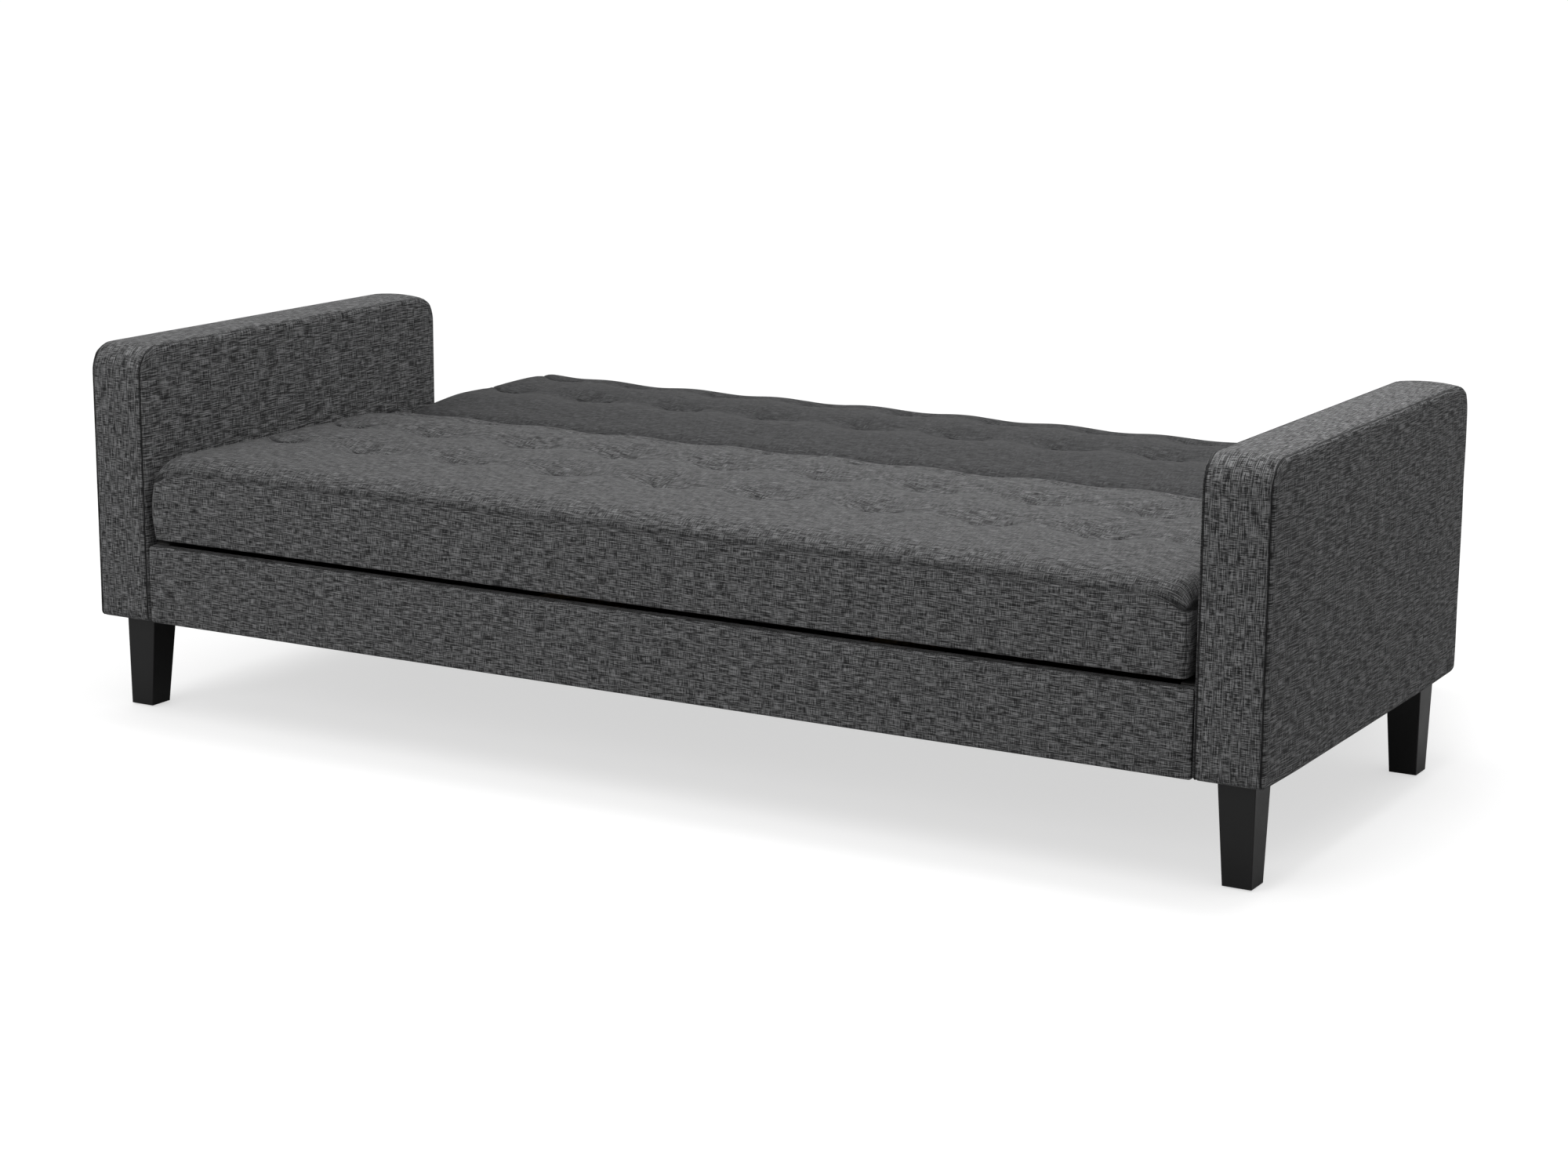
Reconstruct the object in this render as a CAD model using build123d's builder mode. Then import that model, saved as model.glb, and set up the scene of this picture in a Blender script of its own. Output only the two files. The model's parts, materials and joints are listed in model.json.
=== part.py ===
from build123d import *

import os
from math import atan2, cos, degrees, dist, radians, sin

# Three-seat futon sofa bed with a click-clack hinge, in the bed position.
#
# Millimetres, +Z up, +X to the right of someone facing the front, the front towards -Y. The origin is on the
# floor under the middle of the object in the bed position. "left" is the -X side and "right" the +X side.

# ---- overall size ----
overall_width = 2040
overall_depth = 1164  # bed position: arm fronts to the far edge of the laid-down back
front = -overall_depth / 2
clearance = 0.3  # between pieces of different bodies that only pass each other

# ---- arms ----
arm_thickness = 105
arm_depth = 800
arm_top = 606
body_bottom = 156  # underside of the arms and aprons
arm_corner = 46  # rounding of the two top corners, seen from the side
arm_low_front_corner = 12
arm_low_rear_corner = 18
arm_seam_rounding = 7
padding = 6  # wadding and fabric over the arm's timber
arm_inner = overall_width / 2 - arm_thickness  # X of the right arm's inner face
arm_outer = overall_width / 2
arm_rear = front + arm_depth
inner_panel = 9
outer_panel = 3
base_board = 25
stapled_margin = 16  # fabric turned under the arm and stapled
post = 30
top_rail = 25

# ---- legs ----
leg_top = 57
leg_foot = 44
leg_edge = 1.5
leg_outer_inset = 26.5  # of the foot, from the arm's outer face
leg_outer_taper = 1.5  # the outer and front sides are nearly upright, the other two carry the taper
front_leg_y = front + 39
rear_leg_y = front + 716
glide_radius = 12
glide_height = 2.5

# ---- bolts and nuts ----
bolt_radius = 4
bolt_hole = 4.1
bolt_spare = 8  # what the arm bolts stand out of the nuts
board_top = body_bottom + padding + base_board
hanger_depth = 40  # of the leg's bolt hole
hanger_top = board_top + 6
hanger_gap = 2  # left free at the hole's end
arm_bolt_z = 215
arm_bolt_offsets = (90, 330, 630, 710)  # from the front; the last two also clamp the hinge plate
arm_bolt_head = (7, 4)  # radius and height
tee_nut_radius = 11
tee_nut_height = 2

# ---- base ----
apron_top = 286
apron_board = 18
apron_setback = 1  # of the apron's fabric face behind the arm fronts
apron_padding = 3
apron_edge = 5
side_rail = 28
side_rail_bottom = 176
storage_board = 3
cross_rail_x = 300
cross_rail = 45
bracket_leg = 40
bracket_steel = 3
bracket_height = 60
bracket_bottom = side_rail_bottom + 20
bumper_radius = 9
bumper_offsets = (60, 380)  # from the front
apron_front = front + apron_setback
front_board_y = apron_front + apron_padding
rear_apron_face = arm_rear - apron_setback
rear_board_y = rear_apron_face - apron_padding - apron_board
apron_half = arm_inner - clearance

# ---- seat and back cushions ----
cushion_half = 902  # half the width: leaves room for the hinge plates beside the arms
fabric = 3
rail_width = 28
rail_height = 45
cross_width = 22
seat_bottom = 296
seat_top = 430
seat_depth = 663
seat_front_rounding = 14
seam_rounding = 36  # of the two edges that face each other across the hinge line
plan_corner = 8  # of the cushions' corners, apart from the two far ones
back_bottom = 300
back_top = 424
back_rear_rounding = 28
back_corner = 45
dust_cloth = 1
cloth_edge = 8

# ---- hinge line ----
hinge_y = front + 668
hinge_z = 405
back_start = hinge_y + 5
plate = 3
pin_radius = 5
running = 0.06
seat_plate_x = 904.6
back_plate_x = 908.0
base_plate_x = arm_inner - plate
flange_inner_x = 865
flange_near = 20  # where the flanges start and end, from the hinge line
flange_far = 190
flange_slope = (26, 44)  # how far the plates stand above the flanges, at the far end and nearer the pin
hub_radius = 12
pin_head = (8, 1.8)  # radius and height
screw_hole = 3.1
screw_radius = 3
screw_head = (5.5, 2.5)
screw_length = 28
screw_x = 885
screw_offsets = (50, 110, 170)  # from the hinge line

# ---- hinge detents ----
tooth_radius = 30
notch_radius = 20
notch_angles = (175, 213)  # upright and lounging, seen from +X, anticlockwise from the rear
notch_width = 9
sector = (163, 226)
pawl_angle = 250  # where the pawl meets the sector
pawl_turn = 12  # released to engaged
pawl_pivot = (-55, -12)
pawl_hub = 8
pawl_pin = 3
pawl_half = 4
pawl_reach = 41  # from the hinge pin to the tooth's outer end
tooth_tip = 22
tooth_half = 3.2
leaf_half = 0.6  # half the spring leaf's thickness

# ---- webbing ----
strap_columns = 10
strap_pitch = 188
strap_width = 60
strap_thickness = 2
strap_end = 5  # short of the rails' outer edges

# ---- rear support legs ----
support_x = 700
support_y = front + 1087
support_tube = 25
support_wall = 2
support_pivot = 19  # below the back's underside
support_foot = (30, 30, 14)
support_pin = 4
ear = 2.5
ear_gap = 0.8
ear_below = 16  # below the pivot
ear_inner_reach = 14  # towards the middle of the sofa
bracket_half = (45, 28)  # of the bracket's top plate
bracket_room = 1  # round the plate, cut out of the dust cloth
rivet_head = (support_pin + 3, 3)  # radius and height
support_pivot_z = back_bottom - support_pivot
solid_end = 20  # of the tube's upper end, filled by a plug that takes the pin
cap_depth = 6  # how far the tube stands in its rubber foot
cap_edge = 3

saved = []


def save(part, name):
    """Writes one named piece."""
    part.label = name
    export_step(part, f"parts/{name}.step")
    saved.append(name)


def save_pair(part, name):
    """Writes a right-hand piece and its mirror image on the left."""
    save(part, f"{name}_right")
    save(mirror(part, about=Plane.YZ), f"{name}_left")


def save_both(part, name):
    """Writes a right-hand piece and its mirror image as two solids of one node."""
    with BuildPart() as both:
        add(part)
        mirror(part, about=Plane.YZ)
    save(both.part, name)


def box_between(low, high, mode=Mode.ADD):
    """A box from one corner to the other, in the open builder."""
    size = [h - l for l, h in zip(low, high)]
    middle = tuple((h + l) / 2 for l, h in zip(low, high))
    with Locations(middle):
        Box(*size, mode=mode)


# ---------------------------------------------------------------- arms


def arm_slab(x_low, x_high, inset):
    """A slab between two X planes of the arm's side view, drawn in from its edge by inset."""
    depth = arm_depth - 2 * inset
    height = arm_top - body_bottom - 2 * inset
    with BuildPart() as slab:
        with BuildSketch(Plane.YZ.offset(x_low)) as side:
            with Locations((front + arm_depth / 2, (arm_top + body_bottom) / 2)):
                Rectangle(depth, height)
            fillet(side.vertices().group_by(Axis.Y)[-1], arm_corner - inset)
            fillet(side.vertices().group_by(Axis.Y)[0].sort_by(Axis.X)[0], arm_low_front_corner - inset)
            fillet(side.vertices().group_by(Axis.Y)[0].sort_by(Axis.X)[-1], arm_low_rear_corner - inset)
        extrude(amount=x_high - x_low)
    return slab.part


def above(part, level):
    """What of a part lies above a level."""
    with BuildPart() as upper:
        add(part)
        split(bisect_by=Plane.XY.offset(level), keep=Keep.TOP)
    return upper.part


def make_arm_cover():
    """Padded fabric sock: closed at the sides and top, open underneath inside the stapled margin."""
    with BuildPart() as cover:
        add(arm_slab(arm_inner, arm_outer, 0))
        seams = cover.faces().sort_by(Axis.X)
        fillet(seams[0].edges() + seams[-1].edges(), arm_seam_rounding)
        add(arm_slab(arm_inner + padding, arm_outer - padding, padding), mode=Mode.SUBTRACT)
        add(arm_opening(), mode=Mode.SUBTRACT)
        with Locations([(arm_inner + padding / 2, y, z) for y, z in arm_bolt_places()]):
            Cylinder(bolt_hole, padding + 2, rotation=(0, 90, 0), mode=Mode.SUBTRACT)
    return cover.part


def arm_opening():
    """The gap in the cover's underside, which the base board's raised middle fills."""
    with BuildPart() as opening:
        box_between(
            (arm_inner + stapled_margin, front + stapled_margin, body_bottom),
            (arm_outer - stapled_margin, arm_rear - stapled_margin - padding, body_bottom + padding),
        )
    return opening.part


def make_arm_base_board():
    """Board across the arm's underside, which the legs screw up into."""
    with BuildPart() as board:
        add(arm_slab(arm_inner + padding, arm_outer - padding, padding))
        split(bisect_by=Plane.XY.offset(board_top), keep=Keep.BOTTOM)
        add(arm_opening())
        with Locations([(x, y, body_bottom) for x, y in leg_bolt_places()]):
            Cylinder(bolt_hole, 3 * base_board, mode=Mode.SUBTRACT)
    return board.part


def make_arm_frame():
    """Glued timber frame: three posts under a top rail, between the two panels."""
    x_low = arm_inner + padding + inner_panel
    x_high = arm_outer - padding - outer_panel
    window = (arm_depth - 2 * padding - 3 * post) / 2
    window_height = arm_top - padding - top_rail - board_top
    with BuildPart() as frame:
        add(above(arm_slab(x_low, x_high, padding), board_top))
        for step in (-1, 1):
            centre = front + arm_depth / 2 + step * (window + post) / 2
            with Locations(((x_low + x_high) / 2, centre, board_top + window_height / 2)):
                Box(2 * arm_thickness, window, window_height, mode=Mode.SUBTRACT)
    return frame.part


def make_arm_inner_panel():
    """Particle board that takes the base bolts."""
    x_low = arm_inner + padding
    with BuildPart() as panel:
        add(above(arm_slab(x_low, x_low + inner_panel, padding), board_top))
        with Locations([(x_low + inner_panel / 2, y, z) for y, z in arm_bolt_places()]):
            Cylinder(bolt_hole, inner_panel + 2, rotation=(0, 90, 0), mode=Mode.SUBTRACT)
    return panel.part


def make_arm_outer_panel():
    """Hardboard on the arm's outer side."""
    x_high = arm_outer - padding
    return above(arm_slab(x_high - outer_panel, x_high, padding), board_top)


# ---------------------------------------------------------------- legs


def leg_centre(foot_y):
    """X and Y of a right-hand leg's top centre, from the Y of its foot's front."""
    x = arm_outer - leg_outer_inset + leg_outer_taper - leg_top / 2
    return (x, foot_y - leg_outer_taper + leg_top / 2)


def leg_bolt_places():
    """X and Y of the right-hand legs' bolts."""
    return [leg_centre(y) for y in (front_leg_y, rear_leg_y)]


def arm_bolt_places():
    """Y and Z of the bolts that hold each arm to its side rail."""
    return [(front + y, arm_bolt_z) for y in arm_bolt_offsets]


def make_leg(foot_y):
    """Tapered square leg: upright on the outer and front sides, tapered on the other two."""
    foot_x = arm_outer - leg_outer_inset - leg_foot / 2
    top_x, top_y = leg_centre(foot_y)
    with BuildPart() as leg:
        with BuildSketch(Plane.XY.offset(glide_height)):
            with Locations((foot_x, foot_y + leg_foot / 2)):
                RectangleRounded(leg_foot, leg_foot, leg_edge)
        with BuildSketch(Plane.XY.offset(body_bottom)):
            with Locations((top_x, top_y)):
                RectangleRounded(leg_top, leg_top, leg_edge)
        loft()
        with Locations((top_x, top_y, body_bottom)):
            Cylinder(bolt_hole, 2 * hanger_depth, mode=Mode.SUBTRACT)
    return leg.part


def make_leg_glides():
    """One plastic glide under each foot."""
    foot_x = arm_outer - leg_outer_inset - leg_foot / 2
    places = [(side * foot_x, y + leg_foot / 2) for side in (-1, 1) for y in (front_leg_y, rear_leg_y)]
    with BuildPart() as glides:
        with Locations(*[(x, y, glide_height / 2) for x, y in places]):
            Cylinder(glide_radius, glide_height)
    return glides.part


def make_hanger_bolts():
    """One double-ended bolt in each leg, up through the arm's base board."""
    low = body_bottom - hanger_depth + hanger_gap
    with BuildPart() as bolts:
        with Locations(*[(x, y, (low + hanger_top) / 2) for x, y in leg_bolt_places()]):
            Cylinder(bolt_radius, hanger_top - low)
    return bolts.part


def make_tee_nuts():
    """Flanges of the nuts on the base boards and on the far side of the inner panels."""
    panel_x = arm_inner + padding + inner_panel + tee_nut_height / 2
    with BuildPart() as nuts:
        with Locations(*[(x, y, board_top + tee_nut_height / 2) for x, y in leg_bolt_places()]):
            Cylinder(tee_nut_radius, tee_nut_height)
            Cylinder(bolt_hole, tee_nut_height, mode=Mode.SUBTRACT)
        with Locations(*[(panel_x, y, z) for y, z in arm_bolt_places()]):
            Cylinder(tee_nut_radius, tee_nut_height, rotation=(0, 90, 0))
            Cylinder(bolt_hole, tee_nut_height, rotation=(0, 90, 0), mode=Mode.SUBTRACT)
    return nuts.part


def make_arm_bolts():
    """Bolts from inside the base through the side rail into the arm's inner panel."""
    head_radius, head_height = arm_bolt_head
    rail_face = arm_inner - side_rail
    end = arm_inner + padding + inner_panel + bolt_spare
    with BuildPart() as bolts:
        with Locations(*[((rail_face + end) / 2, y, z) for y, z in arm_bolt_places()]):
            Cylinder(bolt_radius, end - rail_face, rotation=(0, 90, 0))
        with Locations(*[(rail_face - head_height / 2, y, z) for y, z in arm_bolt_places()]):
            Cylinder(head_radius, head_height, rotation=(0, 90, 0))
    return bolts.part


# ---------------------------------------------------------------- base


def make_apron_board(y_low):
    """Timber board behind an apron's fabric."""
    with BuildPart() as board:
        box_between(
            (-apron_half + apron_padding, y_low, body_bottom + apron_padding),
            (apron_half - apron_padding, y_low + apron_board, apron_top - apron_padding),
        )
    return board.part


def make_apron_cover(y_low, y_high, y_face, board):
    """Padded fabric round three sides and the ends of an apron board."""
    with BuildPart() as cover:
        box_between((-apron_half, y_low, body_bottom), (apron_half, y_high, apron_top))
        shown = cover.faces().sort_by(Axis.Y)[0 if y_face == y_low else -1]
        fillet(shown.edges(), apron_edge)
        add(board, mode=Mode.SUBTRACT)
    return cover.part


def make_side_rail():
    """Timber rail bolted to the arm, with a shallow pocket for the hinge's base plate."""
    with BuildPart() as rail:
        box_between(
            (arm_inner - side_rail, front_board_y + apron_board, side_rail_bottom),
            (arm_inner, rear_board_y, apron_top),
        )
        add(base_plate_outline(), mode=Mode.SUBTRACT)
        with Locations(*[(arm_inner - side_rail / 2, y, z) for y, z in arm_bolt_places()]):
            Cylinder(bolt_hole, 2 * side_rail, rotation=(0, 90, 0), mode=Mode.SUBTRACT)
    return rail.part


def make_base_cross_rails():
    """Two timbers from the front board to the rear board."""
    with BuildPart() as rails:
        for x in (-cross_rail_x, cross_rail_x):
            box_between(
                (x - cross_rail / 2, front_board_y + apron_board, side_rail_bottom),
                (x + cross_rail / 2, rear_board_y, side_rail_bottom + cross_rail),
            )
    return rails.part


def make_storage_floor():
    """Thin board nailed up under the rails, the floor of the storage space beneath the seat."""
    with BuildPart() as floor:
        box_between(
            (-arm_inner + clearance, front_board_y + apron_board, side_rail_bottom - storage_board),
            (arm_inner - clearance, rear_board_y, side_rail_bottom),
        )
    return floor.part


def make_corner_brackets():
    """Four steel angles in the corners between the side rails and the boards."""
    low = bracket_bottom
    top = bracket_bottom + bracket_height
    rail_face = arm_inner - side_rail
    with BuildPart() as brackets:
        for y, way in ((front_board_y + apron_board, 1), (rear_board_y, -1)):
            for side in (-1, 1):
                x_ends = sorted((side * (rail_face - bracket_leg), side * rail_face))
                y_ends = sorted((y, y + way * bracket_steel))
                box_between((x_ends[0], y_ends[0], low), (x_ends[1], y_ends[1], top))
                x_ends = sorted((side * (rail_face - bracket_steel), side * rail_face))
                y_ends = sorted((y, y + way * bracket_leg))
                box_between((x_ends[0], y_ends[0], low), (x_ends[1], y_ends[1], top))
    return brackets.part


def make_seat_bumpers():
    """Rubber pads on the side rails, which the seat comes down on."""
    height = seat_bottom - clearance - apron_top
    x = arm_inner - side_rail / 2
    places = [(side * x, front + y) for side in (-1, 1) for y in bumper_offsets]
    with BuildPart() as bumpers:
        with Locations(*[(x, y, apron_top + height / 2) for x, y in places]):
            Cylinder(bumper_radius, height)
    return bumpers.part


# ---------------------------------------------------------------- cushions


def cushion_solid(y_low, y_high, z_low, z_high, roundings, corners, inset):
    """A cushion's body: a side profile along X, trimmed to a rounded plan, and drawn in at all sides but the
    underside by inset. roundings are the front and rear top radii, corners the front and rear plan radii."""
    half = cushion_half - inset
    depth = y_high - y_low - 2 * inset
    height = z_high - z_low - inset
    middle = (y_low + y_high) / 2
    with BuildPart() as body:
        with BuildSketch(Plane.YZ.offset(-half)) as side:
            with Locations((middle, z_low + height / 2)):
                Rectangle(depth, height)
            top = side.vertices().group_by(Axis.Y)[-1].sort_by(Axis.X)
            fillet(top[0], roundings[0] - inset)
            top = side.vertices().group_by(Axis.X)[-1].sort_by(Axis.Y)
            fillet(top[-1], roundings[1] - inset)
        extrude(amount=2 * half)
        with BuildSketch(Plane.XY.offset(z_low)) as plan:
            with Locations((0, middle)):
                Rectangle(2 * half, depth)
            fillet(plan.vertices().group_by(Axis.Y)[0], corners[0] - inset)
            fillet(plan.vertices().group_by(Axis.Y)[-1], corners[1] - inset)
        extrude(amount=height, mode=Mode.INTERSECT)
    return body.part


def seat_solid(inset):
    """The seat cushion's body, drawn in by inset."""
    roundings = (seat_front_rounding, seam_rounding)
    corners = (plan_corner, plan_corner)
    return cushion_solid(front, front + seat_depth, seat_bottom, seat_top, roundings, corners, inset)


def back_solid(inset):
    """The back cushion's body, drawn in by inset."""
    roundings = (seam_rounding, back_rear_rounding)
    corners = (plan_corner, back_corner)
    return cushion_solid(back_start, -front, back_bottom, back_top, roundings, corners, inset)


def make_cover(solid):
    """Fabric sleeve over foam and frame, open underneath."""
    with BuildPart() as cover:
        add(solid(0))
        add(solid(fabric), mode=Mode.SUBTRACT)
    return cover.part


def make_foam(solid, bottom):
    """Foam pad on top of the webbing."""
    return above(solid(fabric), bottom + rail_height)


def rail_frame(solid, bottom):
    """The layer of a cushion that its timber frame fills, from the underside to the webbing."""
    with BuildPart() as layer:
        add(solid(fabric))
        split(bisect_by=Plane.XY.offset(bottom + rail_height - strap_thickness), keep=Keep.BOTTOM)
    return layer.part


def make_long_rail(solid, bottom, y_low, y_high):
    """A rail along the whole width, cut to the cushion's plan."""
    with BuildPart() as rail:
        add(rail_frame(solid, bottom))
        with Locations((0, (y_low + y_high) / 2, bottom + rail_height / 2)):
            Box(3 * cushion_half, y_high - y_low, 2 * rail_height, mode=Mode.INTERSECT)
    return rail.part


def make_cross_rails(solid, bottom, y_low, y_high, places):
    """End rails and cross rails between the two long rails."""
    with BuildPart() as rails:
        for x_low, x_high in places:
            box_between((x_low, y_low, bottom), (x_high, y_high, bottom + rail_height))
        add(rail_frame(solid, bottom), mode=Mode.INTERSECT)
    return rails.part


def cross_places(middles):
    """X ranges of the end rails and of the cross rails centred on middles."""
    end = cushion_half - fabric
    ranges = [(-end, -end + rail_width), (end - rail_width, end)]
    return ranges + [(x - cross_width / 2, x + cross_width / 2) for x in middles]


def make_webbing(y_low, y_high, bottom):
    """Elastic straps stapled over the two long rails, one under each column of tufts."""
    level = bottom + rail_height - strap_thickness / 2
    length = y_high - y_low - 2 * strap_end
    places = [strap_pitch * (k - (strap_columns - 1) / 2) for k in range(strap_columns)]
    with BuildPart() as straps:
        with Locations(*[(x, (y_low + y_high) / 2, level) for x in places]):
            Box(strap_width, length, strap_thickness)
    return straps.part


def make_dust_cloth(bottom, y_low, y_high):
    """Non-woven cloth stapled under the frame, kept clear of the hinge flanges."""
    half = flange_inner_x - cloth_edge
    with BuildPart() as cloth:
        box_between((-half, y_low, bottom - dust_cloth), (half, y_high, bottom))
    return cloth.part


def cut_round_brackets(cloth):
    """The back's dust cloth, cut out round the support legs' bracket plates."""
    low = back_bottom - dust_cloth
    half_x, half_y = [half + bracket_room for half in bracket_half]
    with BuildPart() as trimmed:
        add(cloth)
        for side in (-1, 1):
            x_ends = sorted((side * (support_x - half_x), side * (support_x + half_x)))
            box_between(
                (x_ends[0], support_y - half_y, low),
                (x_ends[1], support_y + half_y, back_bottom),
                Mode.SUBTRACT,
            )
    return trimmed.part


# ---------------------------------------------------------------- hinge plates


def at(u, v):
    """A point of the hinge's side view, u to the rear and v up from the hinge pin."""
    return (hinge_y + u, hinge_z + v)


def polar(radius, angle):
    """A point of the hinge's side view, radius from the pin at an angle up from the rear."""
    return at(radius * cos(radians(angle)), radius * sin(radians(angle)))


def plate_shape(x_low, points, hub, thickness=plate):
    """A flat plate in a plane of constant X: a polygon joined to a round hub with a bore for the pin."""
    with BuildPart() as body:
        with BuildSketch(Plane.YZ.offset(x_low)):
            Polygon(*[at(u, v) for u, v in points], align=None)
            with Locations(at(0, 0)):
                Circle(hub)
                Circle(pin_radius + running, mode=Mode.SUBTRACT)
        extrude(amount=thickness)
    return body.part


def make_seat_plate():
    """Steel angle under the seat's end rail, rising to the hinge pin."""
    low = seat_bottom - plate - hinge_z
    far = -flange_far
    points = [(-8, low), (far, low), (far, low + flange_slope[0]), (-70, low + flange_slope[1])]
    points += [(-14, 2), (8, -8)]
    with BuildPart() as angle:
        add(plate_shape(seat_plate_x, points, hub_radius))
        box_between(
            (flange_inner_x, hinge_y - flange_far, seat_bottom - plate),
            (seat_plate_x + plate, hinge_y - flange_near, seat_bottom),
        )
        with Locations(*[(x, y, seat_bottom - plate / 2) for x, y in seat_screws()]):
            Cylinder(screw_hole, 2 * plate, mode=Mode.SUBTRACT)
    return angle.part


def make_back_plate():
    """Steel angle under the back's end rail, with the notched sector that the pawl drops into."""
    low = back_bottom - plate - hinge_z
    far = flange_far
    points = [(9, low), (far, low), (far, low + flange_slope[0]), (70, low + flange_slope[1])]
    points += [(14, 2), (0, -12)]
    with BuildPart() as angle:
        add(plate_shape(back_plate_x, points, hub_radius))
        with BuildSketch(Plane.YZ.offset(back_plate_x)):
            with BuildLine():
                arc = CenterArc(at(0, 0), tooth_radius, sector[0], sector[1] - sector[0])
                Line(arc @ 1, at(0, 0))
                Line(at(0, 0), arc @ 0)
            make_face()
            with Locations(at(0, 0)):
                Circle(pin_radius + running, mode=Mode.SUBTRACT)
            for angle_of_notch in notch_angles:
                with Locations(polar((notch_radius + tooth_radius + 2) / 2, angle_of_notch)):
                    depth = tooth_radius + 2 - notch_radius
                    Rectangle(depth, notch_width, rotation=angle_of_notch, mode=Mode.SUBTRACT)
        extrude(amount=plate)
        box_between(
            (flange_inner_x, hinge_y + flange_near, back_bottom - plate),
            (back_plate_x + plate, hinge_y + flange_far, back_bottom),
        )
        with Locations(*[(x, y, back_bottom - plate / 2) for x, y in back_screws()]):
            Cylinder(screw_hole, 2 * plate, mode=Mode.SUBTRACT)
    return angle.part


def base_plate_outline():
    """Steel plate between the side rail and the arm, up to the hinge pin."""
    low = arm_bolt_z - 25 - hinge_z
    points = [(-72, low), (72, low), (72, low + 50), (22, -60), (9, 9), (-12, 9), (-66, 0), (-72, -60)]
    with BuildPart() as outline:
        with BuildSketch(Plane.YZ.offset(base_plate_x)):
            Polygon(*[at(u, v) for u, v in points], align=None)
        extrude(amount=plate)
    return outline.part


def make_base_plate():
    """The fixed plate with the holes for the pins and the arm bolts."""
    with BuildPart() as body:
        add(base_plate_outline())
        middle = base_plate_x + plate / 2
        with Locations((middle, *at(0, 0))):
            Cylinder(pin_radius, 2 * plate, rotation=(0, 90, 0), mode=Mode.SUBTRACT)
        with Locations((middle, *at(*pawl_pivot))):
            Cylinder(pawl_pin, 2 * plate, rotation=(0, 90, 0), mode=Mode.SUBTRACT)
        with Locations(*[(middle, y, z) for y, z in arm_bolt_places()]):
            Cylinder(bolt_hole, 2 * plate, rotation=(0, 90, 0), mode=Mode.SUBTRACT)
    return body.part


def make_pivot_pin():
    """Shouldered pin, fixed in the base plate, that the seat and back plates turn on."""
    head_radius, head_height = pin_head
    head_x = seat_plate_x - clearance - head_height
    with BuildPart() as pin:
        with Locations(((head_x + arm_inner) / 2, *at(0, 0))):
            Cylinder(pin_radius, arm_inner - head_x, rotation=(0, 90, 0))
        with Locations((head_x + head_height / 2, *at(0, 0))):
            Cylinder(head_radius, head_height, rotation=(0, 90, 0))
    return pin.part


def make_pawl():
    """Hooked pawl on the base plate, drawn released: clear of the sector over the back's whole travel.
    Engaged, its tooth stands on a radius of the hinge."""
    tooth_middle = (tooth_tip + pawl_reach) / 2
    arm_start = polar(pawl_reach - pawl_half, pawl_angle)
    arm_end = at(*pawl_pivot)
    pivot_line = Axis((0, *arm_end), (1, 0, 0))
    with BuildPart() as pawl:
        with BuildSketch(Plane.YZ.offset(back_plate_x)):
            with Locations(polar(tooth_middle, pawl_angle)):
                Rectangle(pawl_reach - tooth_tip, 2 * tooth_half, rotation=pawl_angle)
            with Locations(((arm_start[0] + arm_end[0]) / 2, (arm_start[1] + arm_end[1]) / 2)):
                length = dist(arm_start, arm_end)
                turn = degrees(atan2(arm_end[1] - arm_start[1], arm_end[0] - arm_start[0]))
                SlotCenterToCenter(length, 2 * pawl_half, rotation=turn)
            with Locations(arm_end):
                Circle(pawl_hub)
                Circle(pawl_pin + running, mode=Mode.SUBTRACT)
        extrude(amount=plate)
    return pawl.part.rotate(pivot_line, -pawl_turn)


def make_pawl_pin():
    """Rivet in the base plate, flush with the pawl's inner face, that the pawl turns on."""
    with BuildPart() as pin:
        with Locations(((back_plate_x + arm_inner) / 2, *at(*pawl_pivot))):
            Cylinder(pawl_pin, arm_inner - back_plate_x, rotation=(0, 90, 0))
    return pin.part


def make_pawl_spring():
    """Spring-steel leaf riveted to the base plate under the pawl."""
    with BuildPart() as leaf:
        with BuildSketch(Plane.YZ.offset(back_plate_x)):
            with BuildLine():
                Polyline(at(-70, -100), at(-58, -100), at(-46, -70), at(-26, -64))
                offset(amount=leaf_half, side=Side.BOTH)
            make_face()
        extrude(amount=base_plate_x - back_plate_x)
    return leaf.part


def seat_screws():
    """X and Y of the right-hand screws into the seat."""
    return [(screw_x, hinge_y - u) for u in screw_offsets]


def back_screws():
    """X and Y of the right-hand screws into the back."""
    return [(screw_x, hinge_y + u) for u in screw_offsets]


def make_plate_screws(places, bottom):
    """Pan-head screws up through the flanges into the end rails, both sides."""
    head_radius, head_height = screw_head
    head_top = bottom - plate
    spots = [(side * x, y) for side in (-1, 1) for x, y in places]
    with BuildPart() as screws:
        with Locations(*[(x, y, head_top + screw_length / 2) for x, y in spots]):
            Cylinder(screw_radius, screw_length)
        with Locations(*[(x, y, head_top - head_height / 2) for x, y in spots]):
            Cylinder(head_radius, head_height)
    return screws.part


def drill_for_screws(rails, places, bottom):
    """The end rails with their screw holes."""
    with BuildPart() as drilled:
        add(rails)
        spots = [(side * x, y, bottom) for side in (-1, 1) for x, y in places]
        with Locations(*spots):
            Cylinder(screw_hole, 2 * screw_length, mode=Mode.SUBTRACT)
    return drilled.part


# ---------------------------------------------------------------- rear support legs


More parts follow.
